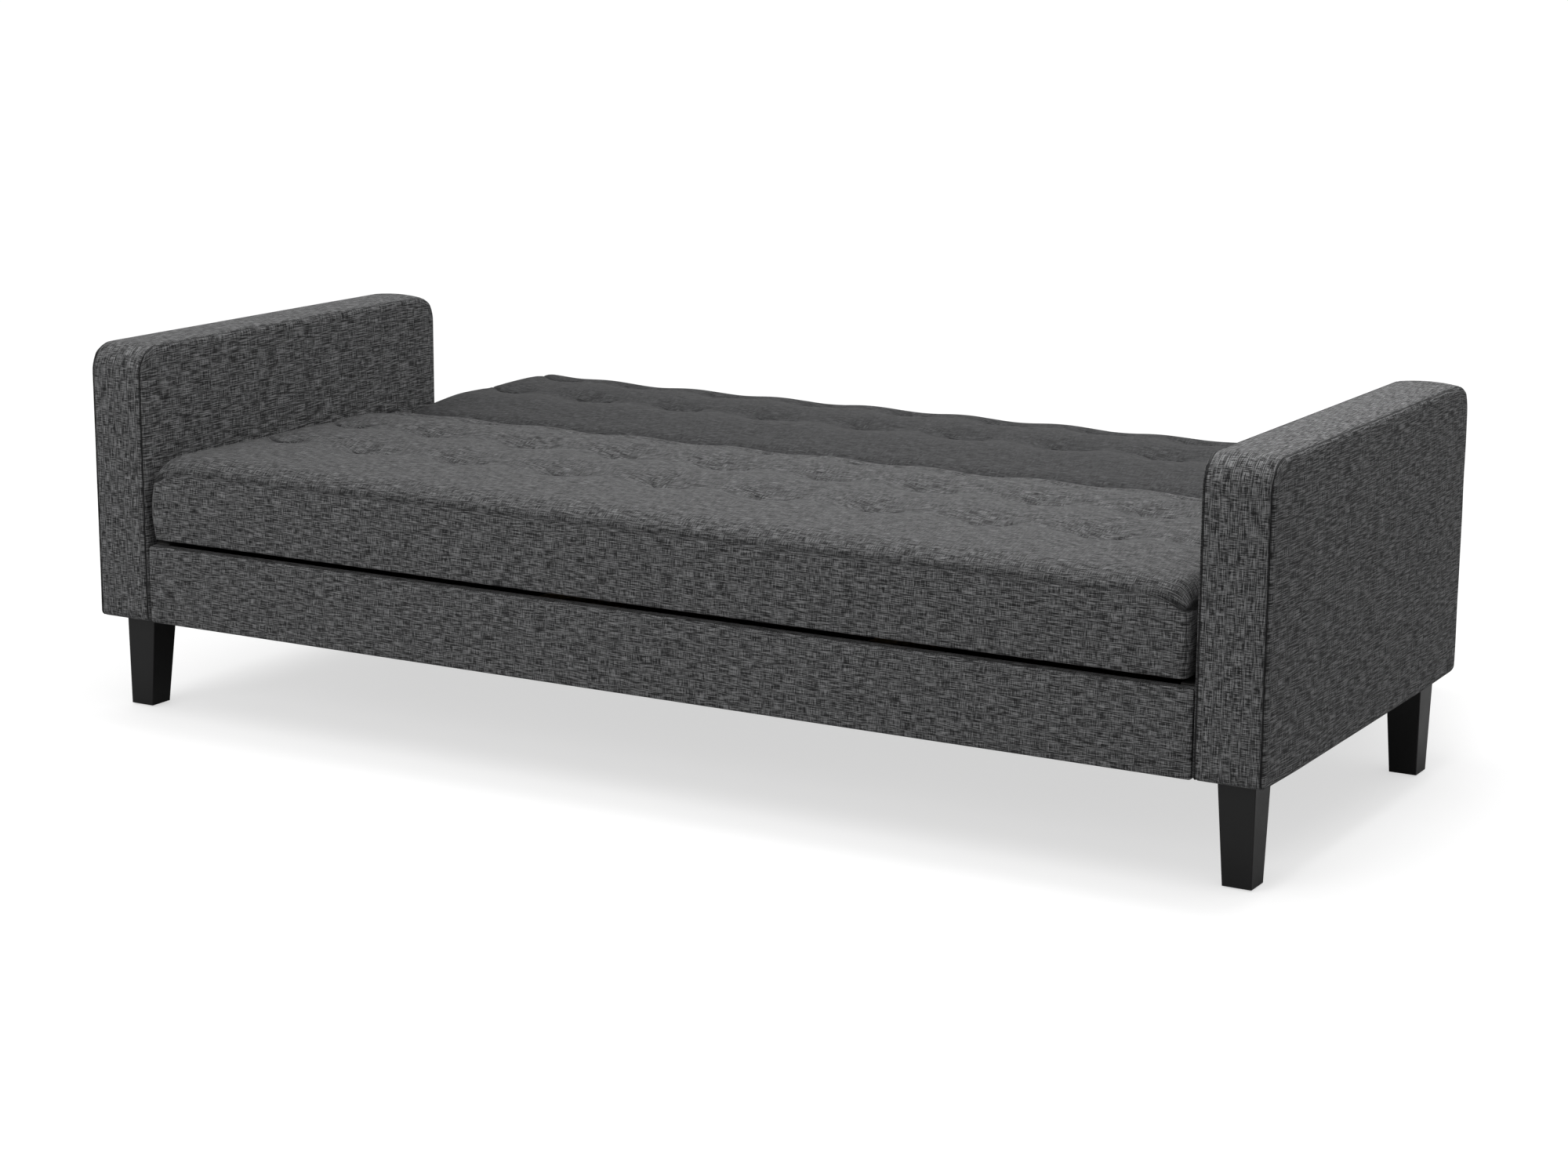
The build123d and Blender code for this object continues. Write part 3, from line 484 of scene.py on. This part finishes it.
def chipboard(name="chipboard", dark=(0.33, 0.22, 0.12), pale=(0.55, 0.41, 0.25)):
    """Pressed chips of several tones."""
    n = Nodes(name)
    place = object_place(n)
    chips = n.node("ShaderNodeTexVoronoi", {"Vector": place, "Scale": 300.0}).outputs["Color"]
    tone = n.node("ShaderNodeSeparateColor", {"Color": chips}).outputs["Red"]
    n.link(n.mix(tone, dark, pale), "Base Color")
    n.put("Roughness", 0.85)
    n.bump(tone, 0.0004, 0.5)
    return n.material


def powder_coat():
    """Black powder coat with fine orange peel."""
    n = Nodes("powder_coat")
    place = object_place(n)
    peel = n.noise(place, 900.0, 2.0)
    broad = n.noise(place, 30.0, 2.0)
    n.link(n.mix(broad, (0.012, 0.012, 0.013), (0.022, 0.022, 0.023)), "Base Color")
    n.link(n.math("ADD", n.math("MULTIPLY", peel, 0.2), 0.38), "Roughness")
    n.bump(peel, 0.0002, 0.5)
    return n.material


def zinc_plate():
    """Bright zinc plating, faintly mottled and brushed."""
    n = Nodes("zinc_plate")
    place = object_place(n)
    brushed = n.noise(n.scaled(place, (40.0, 900.0, 900.0)), 1.0, 3.0)
    mottle = n.noise(place, 120.0, 3.0)
    n.link(n.mix(mottle, (0.50, 0.51, 0.53), (0.68, 0.68, 0.69)), "Base Color")
    n.link(n.math("ADD", n.math("MULTIPLY", brushed, 0.25), 0.25), "Roughness")
    n.put("Metallic", 1.0)
    n.bump(brushed, 0.0001, 0.3)
    return n.material


def black_rubber(name="black_rubber", roughness=0.78):
    """Moulded black rubber or plastic with a fine grain."""
    n = Nodes(name)
    place = object_place(n)
    grain = n.noise(place, 1400.0, 2.0)
    n.link(n.mix(grain, (0.010, 0.010, 0.010), (0.022, 0.022, 0.022)), "Base Color")
    n.put("Roughness", roughness)
    n.bump(grain, 0.0002, 0.4)
    return n.material


def elastic_webbing():
    """Tan elastic webbing with ribs and two darker stripes."""
    n = Nodes("elastic_webbing")
    place = object_place(n)
    ribs = n.node("ShaderNodeTexWave", {"Vector": place, "Scale": 140.0}, bands_direction="Y").outputs["Fac"]
    fuzz = n.noise(place, 900.0, 3.0)
    n.link(n.mix(n.math("MULTIPLY", ribs, fuzz), (0.16, 0.11, 0.07), (0.36, 0.28, 0.19)), "Base Color")
    n.put("Roughness", 0.9)
    n.bump(ribs, 0.0005, 0.6)
    return n.material


def non_woven():
    """Thin black non-woven cloth with its grid of heat-pressed dots."""
    n = Nodes("non_woven")
    place = object_place(n)
    dots = n.node("ShaderNodeTexVoronoi", {"Vector": n.scaled(place, (1.0, 1.0, 0.05)), "Scale": 420.0,
                                           "Randomness": 0.15}).outputs["Distance"]
    fibres = n.noise(place, 700.0, 4.0)
    n.link(n.mix(fibres, (0.008, 0.008, 0.009), (0.030, 0.030, 0.032)), "Base Color")
    n.put("Roughness", 0.92)
    n.bump(dots, 0.0003, 0.6)
    return n.material


# ---------------------------------------------------------------- camera, floor and light


def make_camera():
    sin_a, cos_a = math.sin(CAMERA_AZIMUTH), math.cos(CAMERA_AZIMUTH)
    sin_e, cos_e = math.sin(CAMERA_ELEVATION), math.cos(CAMERA_ELEVATION)
    back = Vector((sin_a * cos_e, -cos_a * cos_e, sin_e))
    level = Vector((cos_a, sin_a, 0.0))
    upright = back.cross(level)
    right = level * math.cos(CAMERA_ROLL) + upright * math.sin(CAMERA_ROLL)
    up = back.cross(right)
    data = bpy.data.cameras.new("camera")
    data.lens = CAMERA_LENS
    data.sensor_width = 36.0
    camera = bpy.data.objects.new("camera", data)
    camera.matrix_world = Matrix.Translation(CAMERA_PLACE) @ Matrix((right, up, back)).transposed().to_4x4()
    bpy.context.scene.collection.objects.link(camera)
    bpy.context.scene.camera = camera


def make_floor():
    """A pale floor that reaches well past the view."""
    n = Nodes("floor_paint")
    mottle = n.noise(object_place(n), 3.0, 3.0)
    n.link(n.mix(mottle, (0.34, 0.34, 0.34), (0.36, 0.36, 0.36)), "Base Color")
    n.put("Emission Color", WHITE)
    seen = n.node("ShaderNodeLightPath").outputs["Is Camera Ray"]
    n.link(n.math("MULTIPLY", seen, FLOOR_GLOW), "Emission Strength")
    n.put("Roughness", 0.8)
    mesh = bpy.data.meshes.new("floor")
    corners = [(-1, -1), (1, -1), (1, 1), (-1, 1)]
    mesh.from_pydata([(FLOOR_REACH * x, FLOOR_REACH * y, 0) for x, y in corners], [], [(0, 1, 2, 3)])
    mesh.materials.append(n.material)
    floor = bpy.data.objects.new("floor", mesh)
    bpy.context.scene.collection.objects.link(floor)


def add_area(name, place, target, size, power):
    data = bpy.data.lights.new(name, "AREA")
    data.shape = "RECTANGLE"
    data.size, data.size_y = size
    data.energy = power
    lamp = bpy.data.objects.new(name, data)
    lamp.location = place
    lamp.rotation_euler = (Vector(target) - Vector(place)).to_track_quat("-Z", "Y").to_euler()
    bpy.context.scene.collection.objects.link(lamp)


def make_light():
    """A white backdrop, weak light from all round, a broad light from above, and two soft boxes."""
    world = bpy.data.worlds.new("studio")
    world.use_nodes = True
    tree = world.node_tree
    fill = tree.nodes["Background"]
    fill.inputs["Color"].default_value = WHITE
    fill.inputs["Strength"].default_value = WORLD_FILL
    backdrop = tree.nodes.new("ShaderNodeBackground")
    backdrop.inputs["Color"].default_value = WHITE
    blend = tree.nodes.new("ShaderNodeMixShader")
    rays = tree.nodes.new("ShaderNodeLightPath")
    tree.links.new(rays.outputs["Is Camera Ray"], blend.inputs[0])
    tree.links.new(fill.outputs[0], blend.inputs[1])
    tree.links.new(backdrop.outputs[0], blend.inputs[2])
    tree.links.new(blend.outputs[0], tree.nodes["World Output"].inputs["Surface"])
    bpy.context.scene.world = world
    bpy.context.scene.view_settings.view_transform = "Standard"
    sky = bpy.data.lights.new("ceiling", "SUN")
    sky.energy = CEILING_POWER
    sky.angle = math.radians(75.0)
    lamp = bpy.data.objects.new("ceiling", sky)
    lamp.rotation_euler = (0.0, math.radians(-6.0), 0.0)
    bpy.context.scene.collection.objects.link(lamp)
    add_area("overhead", (0.7, -0.1, 2.1), (-0.3, 0.1, 0.3), (0.5, 1.3), OVERHEAD_POWER)
    add_area("front_left", (-1.6, -4.6, 2.2), (0.0, 0.0, 0.3), (3.0, 2.4), FRONT_LEFT_POWER)


# ---------------------------------------------------------------- upholstery


def tuft_columns():
    return [TUFT_PITCH * (k - (TUFT_COLUMNS - 1) / 2) for k in range(TUFT_COLUMNS)]


def tufting(x, y, rows, firm, seed):
    """How far the tufts pull the top down: at each a dimple with a pinched middle, a crescent fold that bows
    towards the front, and faint pleats that run out of it. Where firm is near 0 the wide dimples fade out.
    Also returns fold, how much painted shade each crease gets."""
    random = np.random.default_rng(seed)
    drop = np.zeros(x.shape)
    fold = np.zeros(x.shape)
    for row in rows:
        for column in tuft_columns():
            dx = x - column - random.uniform(-0.004, 0.004)
            dy = y - row - random.uniform(-0.004, 0.004)
            turn = random.uniform(0.0, 2 * math.pi)
            strength = random.uniform(0.85, 1.1)
            lean = random.uniform(-0.25, 0.25)
            far = np.hypot(dx / 1.2, dy)
            dimple = TUFT_DEPTH * firm * np.exp(-((far / TUFT_REACH) ** 1.6))
            pinch = PINCH_DEPTH * np.exp(-((far / PINCH_REACH) ** 1.2))
            pleats = np.sin(PLEATS * np.arctan2(dy, dx) + turn) * np.exp(-(((far - 0.024) / 0.014) ** 2))
            bow = CREASE_BOW * (1.0 - np.exp(-((dx / CREASE_SPREAD) ** 2)))
            off_line = dy + 0.004 - bow - lean * dx
            length = np.exp(-((dx / (1.35 * CREASE_SPREAD)) ** 2)) * np.exp(-((dy / 0.03) ** 2))
            crease = length * np.exp(-np.abs(off_line / CREASE_HALF_WIDTH) ** 1.6)
            drop += strength * (dimple + pinch + CREASE_DEPTH * crease) + PLEAT_HEIGHT * pleats
            # fold: where the creases get painted shade
            fold = np.maximum(fold, crease)
    return drop, fold


def make_cushion(name, y_range, levels, radii, corner_radii, rows, seed,
                 marks, roll, fall, end_dip, materials):
    """A tufted cushion over y_range. levels are the heights of the underside, of the top seam at the front
    and the rear, and of the crown. radii are the widths of the rounded edge at the ends, the front and the
    rear, and marks how marked the top seam is there, in painted shade and in how far it is drawn in. roll
    and fall are how far the top falls towards its front and its rear edge, and over what distance. end_dip is
    how far the top seam dips at the ends, and materials are the panels' and the boxing's, or one for both."""
    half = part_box("seat_cover")[1].x - CUSHION_END_GAP
    front, rear = y_range
    bottom, front_seam, rear_seam, crown = levels
    end_radius, front_radius, rear_radius = radii
    dense = {"dense_step": TUFT_STEP, "reach": TUFT_ZONE}
    x_line = spaced(-half, half, PANEL_STEP, end_radius, end_radius, dense=tuft_columns(), **dense)
    y_line = spaced(front, rear, PANEL_STEP, front_radius, rear_radius,
                    dense=[front + row for row in rows], **dense)
    box = (-half, half, front, rear)
    corners = (corner_radii[0], corner_radii[0], corner_radii[1], corner_radii[1])
    sewn = Sewn(x_line, y_line, box, corners)
    x, y = sewn.a0, sewn.b0
    from_end = half - np.abs(x)
    ends = edge_rise(from_end, end_radius)
    along = edge_rise(y - front, front_radius) * edge_rise(rear - y, rear_radius)
    blend = smooth((y - front) / (rear - front) * 1.6 - 0.6)
    seam_dip = end_dip * np.exp(-((from_end / SEAM_DIP_REACH) ** 2))
    seam_height = front_seam + (rear_seam - front_seam) * blend - seam_dip
    rise = ends * along
    level = crown + TOP_WAVE * ripple(x, y, (0.33, 0.19), seed)
    level = level - roll[0] * (1.0 - smooth((y - front) / roll[1]))
    level = level - fall[0] * smooth((y - rear + fall[1]) / fall[1])
    level = level - TOP_DIP_SHARE * end_dip * np.exp(-((from_end / TOP_DIP_REACH) ** 2))
    inner = smooth(rise * 1.3 - 0.3)
    drop, fold = tufting(x, y - front, rows, smooth(from_end / FIRM_REACH), seed + 1)
    drop = drop * inner
    valleys = sum(np.exp(-(((y - front - row) / VALLEY_REACH) ** 2)) for row in rows)
    valleys = VALLEY_DEPTH * valleys * smooth(rise) * smooth(from_end / 0.08)
    top = seam_height + (level - seam_height) * rise - drop - valleys
    # how marked the top seam is: painted shade, and how far it is drawn in
    along_sides = np.where(y - front < front_radius, marks[1], marks[2])
    strength = np.where(from_end < end_radius, marks[0], along_sides)
    low = sewn.panel(np.full(x.shape, bottom), up=False, shift=(7.0, 7.0), strength=0.2)
    # fold: painted shade in the tuft creases, through the seam attribute
    high = sewn.panel(top, up=True, strength=strength, fold=FOLD_SHADE * fold * inner)

    def bulge(a, b, t):
        swell = math.sin(math.pi * t)
        facing = smooth((half - np.abs(a)) / 0.012)
        wave = BOXING_WAVE * ripple(a, np.full(a.shape, t * 0.13), (0.42, 0.21), seed + 5)
        at_end = END_SWELL * (1.0 - facing) * smooth((front + END_SWELL_REACH - b) / 0.08)
        return (BOXING_BULGE + wave) * swell * facing + at_end * swell

    rows_of_boxing = max(6, int((front_seam - bottom) / BOXING_STEP))
    sewn.boxing(low, high, bulge, rows_of_boxing, corner_seams=True)
    thing = sewn.object(name, lambda points: points, materials)
    return thing


def make_seat(materials):
    """The seat: a faintly marked seam along the front, and a top that falls towards the hinge line."""
    low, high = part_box("seat_cover")
    levels = (low.z - 0.0001, high.z - 0.023, high.z - 0.028, high.z + 0.0040)
    thing = make_cushion(
        "seat_cushion", (low.y + 0.0010, high.y), levels, (0.026, 0.050, 0.026), (0.010, 0.010),
        SEAT_TUFT_ROWS, 11, (0.9, 0.2, 0.5), (0.0, 0.1), (0.011, 0.15), SEAT_END_DIP, materials,
    )
    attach(thing, "seat")
    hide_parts("seat_cover", "seat_foam")


def make_back(materials):
    """The back: it rolls down towards the hinge line, and its two far corners are rounded."""
    low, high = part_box("back_cover")
    levels = (low.z - 0.0001, high.z - 0.034, high.z - 0.030, high.z + 0.0040)
    thing = make_cushion(
        "back_cushion", (low.y, high.y - 0.0010), levels, (0.028, 0.044, 0.046), (0.010, 0.045),
        BACK_TUFT_ROWS, 23, (0.5, 0.5, 0.5), (0.013, 0.17), (0.004, 0.12), BACK_END_DIP, materials,
    )
    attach(thing, "back")
    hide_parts("back_cover", "back_foam")


def make_dust_sheet(which, sag):
    """Black cloth stapled under a cushion, sagging a little between its edges."""
    node = f"{which}_dust_cloth"
    low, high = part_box(node)
    x_line = np.linspace(low.x, high.x, SHEET_POINTS[0])
    y_line = np.linspace(low.y, high.y, SHEET_POINTS[1])
    x, y = np.meshgrid(x_line, y_line, indexing="ij")
    inside = np.minimum(np.minimum(x - low.x, high.x - x), np.minimum(y - low.y, high.y - y))
    hang = smooth(inside / 0.10)
    z = low.z - (sag + 0.2 * sag * ripple(x, y, (0.24, 0.11), 7)) * hang
    numbers = np.arange(x.size).reshape(x.shape)
    quads = [numbers[:-1, :-1], numbers[:-1, 1:], numbers[1:, 1:], numbers[1:, :-1]]
    faces = np.stack(quads, axis=-1).reshape(-1, 4)
    middle = np.stack([x, y], axis=-1).reshape(-1, 2)[faces].mean(axis=1)
    kept = np.ones(len(faces), bool)
    if which == "back":
        plates = nodes["support_brackets"].data.vertices
        bracket = np.array([v.co[:] for v in plates])
        for side in (-1, 1):
            part = bracket[bracket[:, 0] * side > 0]
            highest = part.max(axis=0) + BRACKET_CLEARANCE
            lowest = part.min(axis=0) - BRACKET_CLEARANCE
            over = (middle < highest[:2]) & (middle > lowest[:2])
            kept &= ~over.all(axis=1)
    mesh = bpy.data.meshes.new(f"{which}_dust_sheet")
    points = np.stack([x, y, z], axis=-1).reshape(-1, 3)
    mesh.from_pydata(points.tolist(), [], faces[kept].tolist())
    mesh.polygons.foreach_set("use_smooth", np.ones(int(kept.sum()), bool))
    mesh.materials.append(bpy.data.materials["non_woven"])
    sheet = bpy.data.objects.new(f"{which}_dust_sheet", mesh)
    bpy.context.scene.collection.objects.link(sheet)
    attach(sheet, which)
    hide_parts(node)


def make_arm(side, material, strip):
    """An arm: an inner and an outer panel, and a strip that runs up the front, over the top and down the
    back. a is the row's Y, b its Z, and c runs from the inner panel out."""
    name = "left" if side < 0 else "right"
    low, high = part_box(f"arm_cover_{name}")
    inner = min(abs(low.x), abs(high.x))
    outer = max(abs(low.x), abs(high.x))
    bottom = low.z - 0.0004
    y_line = spaced(low.y, high.y, COARSE_STEP, ARM_EDGE, ARM_EDGE, 5)
    z_line = spaced(bottom, high.z, COARSE_STEP, ARM_EDGE, ARM_EDGE, 5)
    sewn = Sewn(y_line, z_line, (low.y, high.y, bottom, high.z), ARM_CORNERS)
    y, z = sewn.a0, sewn.b0
    edge = edge_rise(y - low.y, ARM_EDGE) * edge_rise(high.y - y, ARM_EDGE)
    edge = edge * edge_rise(high.z - z, ARM_EDGE) * edge_rise(z - bottom, ARM_EDGE)
    seed = 40 if side < 0 else 60
    swell = smooth(np.minimum(high.z - z, 0.14) / 0.14) * smooth(np.minimum(y - low.y, high.y - y) / 0.16)
    wave = ARM_WAVE * ripple(y, z, (0.35, 0.18, 0.1), seed) * edge
    outside = outer - ARM_INSET + ARM_INSET * edge + ARM_PUFF * swell + wave
    inside = inner + ARM_INSET - ARM_INSET * edge - 0.0004 * swell
    low_grid = sewn.panel(inside, up=False)
    high_grid = sewn.panel(outside, up=True, shift=(5.0, 5.0))

    def bulge(a, b, t):
        crown = math.sin(math.pi * t) ** 0.7
        upper = smooth((b - bottom) / 0.03)
        top = smooth((b - high.z + 0.05) / 0.05)
        wave = STRIP_WAVE * ripple(a + b, np.full(a.shape, t * 0.1), (0.30, 0.16), seed + 3)
        return (0.0020 + 0.0016 * top + wave * top) * crown * upper

    sewn.boxing(low_grid, high_grid, bulge, 10)

    def place(points):
        return np.stack([side * points[:, 2], points[:, 0], points[:, 1]], axis=-1)

    thing = sewn.object(f"arm_upholstery_{name}", place, [material, strip])
    orient_outwards(thing)
    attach(thing, "base")
    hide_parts(f"arm_cover_{name}")


def make_apron(which, face_way, material):
    """A padded apron: a panel over the board's face, turned over its edges."""
    low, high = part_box(f"{which}_apron_cover")
    half = high.x - 0.0004
    bottom, top = low.z - 0.0004, high.z - 0.0022
    x_line = spaced(-half, half, APRON_STEP, APRON_EDGE, APRON_EDGE, 5)
    z_line = spaced(bottom, top, COARSE_STEP, APRON_EDGE, APRON_EDGE, 5)
    sewn = Sewn(x_line, z_line, (-half, half, bottom, top), APRON_CORNERS)
    x, z = sewn.a0, sewn.b0
    rise = edge_rise(half - np.abs(x), APRON_EDGE) * edge_rise(z - bottom, APRON_EDGE)
    rise = rise * edge_rise(top - z, APRON_EDGE)
    depth = high.y - low.y
    wave = APRON_WAVE * ripple(x, z, (0.40, 0.22, 0.12), 80 if face_way < 0 else 90)
    middle = APRON_PUFF * smooth(np.minimum(z - bottom, top - z) / 0.05)
    face = depth - APRON_EDGE + (APRON_EDGE + middle + wave) * rise
    low_grid = sewn.panel(np.zeros(x.shape), up=False, shift=(9.0, 9.0))
    high_grid = sewn.panel(face, up=True)
    sewn.boxing(low_grid, high_grid, lambda a, b, t: np.zeros(a.shape), 3)
    back = high.y if face_way < 0 else low.y

    def place(points):
        return np.stack([points[:, 0], back + face_way * points[:, 2], points[:, 1]], axis=-1)

    thing = sewn.object(f"{which}_apron_upholstery", place, [material])
    orient_outwards(thing)
    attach(thing, "base")
    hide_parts(f"{which}_apron_cover")


# ---------------------------------------------------------------- put together

SLOT_MATERIALS = {
    "black_wood": black_lacquer,
    "timber": softwood,
    "board": chipboard,
    "glide_plastic": lambda: black_rubber("glide_plastic", 0.5),
    "rubber": black_rubber,
    "zinc_steel": zinc_plate,
    "black_steel": powder_coat,
    "webbing": elastic_webbing,
    "dust_cloth": non_woven,
    # painted shade: timber darkened nearly to black where it shows through the shaded gaps round the seat
    "stained_timber": lambda: softwood("stained_timber", (0.020, 0.019, 0.018), (0.010, 0.0095, 0.009)),
    "hardboard": lambda: chipboard("hardboard", (0.045, 0.038, 0.032), (0.085, 0.072, 0.060)),
}
# rails and boards seen through the gaps under the seat, darkened as painted shade
SHADE_DARKENED_NODES = ("side_rail_left", "side_rail_right", "front_apron_board", "rear_apron_board")
FINISHES = {node: "stained_timber" for node in SHADE_DARKENED_NODES} | {"storage_floor": "hardboard"}


def dress_cad_nodes():
    """Gives every CAD node that stays its slot's procedural material."""
    made = {}
    for entry in frame["record"]["subparts"]:
        slot = entry["material_slot"]
        if slot not in SLOT_MATERIALS:
            continue
        finish = FINISHES.get(entry["node"], slot)
        if finish not in made:
            made[finish] = SLOT_MATERIALS[finish]()
        mesh = nodes[entry["node"]].data
        mesh.materials.clear()
        mesh.materials.append(made[finish])


make_camera()
make_floor()
make_light()
dress_cad_nodes()
linen = linen_weave("linen_weave")
side_linen = linen_weave("linen_weave_side", across=0.7, coarse=1.3)
# the arms' strips: stronger painted shade in their seams
strip_linen = linen_weave("linen_weave_strip", across=1.1, seam_shade=1.3)
# the seat's panels: the same linen with painted shade
shaded_top_linen = linen_weave("linen_weave_top_shaded", light=LINEN_TOP_SHADED)
# the back cushion: the same linen with painted shade
shaded_back_linen = linen_weave("linen_weave_back_shaded", light=LINEN_BACK_SHADED)
make_seat([shaded_top_linen, linen])
make_back([shaded_back_linen])
make_dust_sheet("seat", SEAT_SHEET_SAG)
make_dust_sheet("back", BACK_SHEET_SAG)
for side in (-1, 1):
    make_arm(side, side_linen, strip_linen)
make_apron("front", -1, linen)
make_apron("rear", 1, linen)
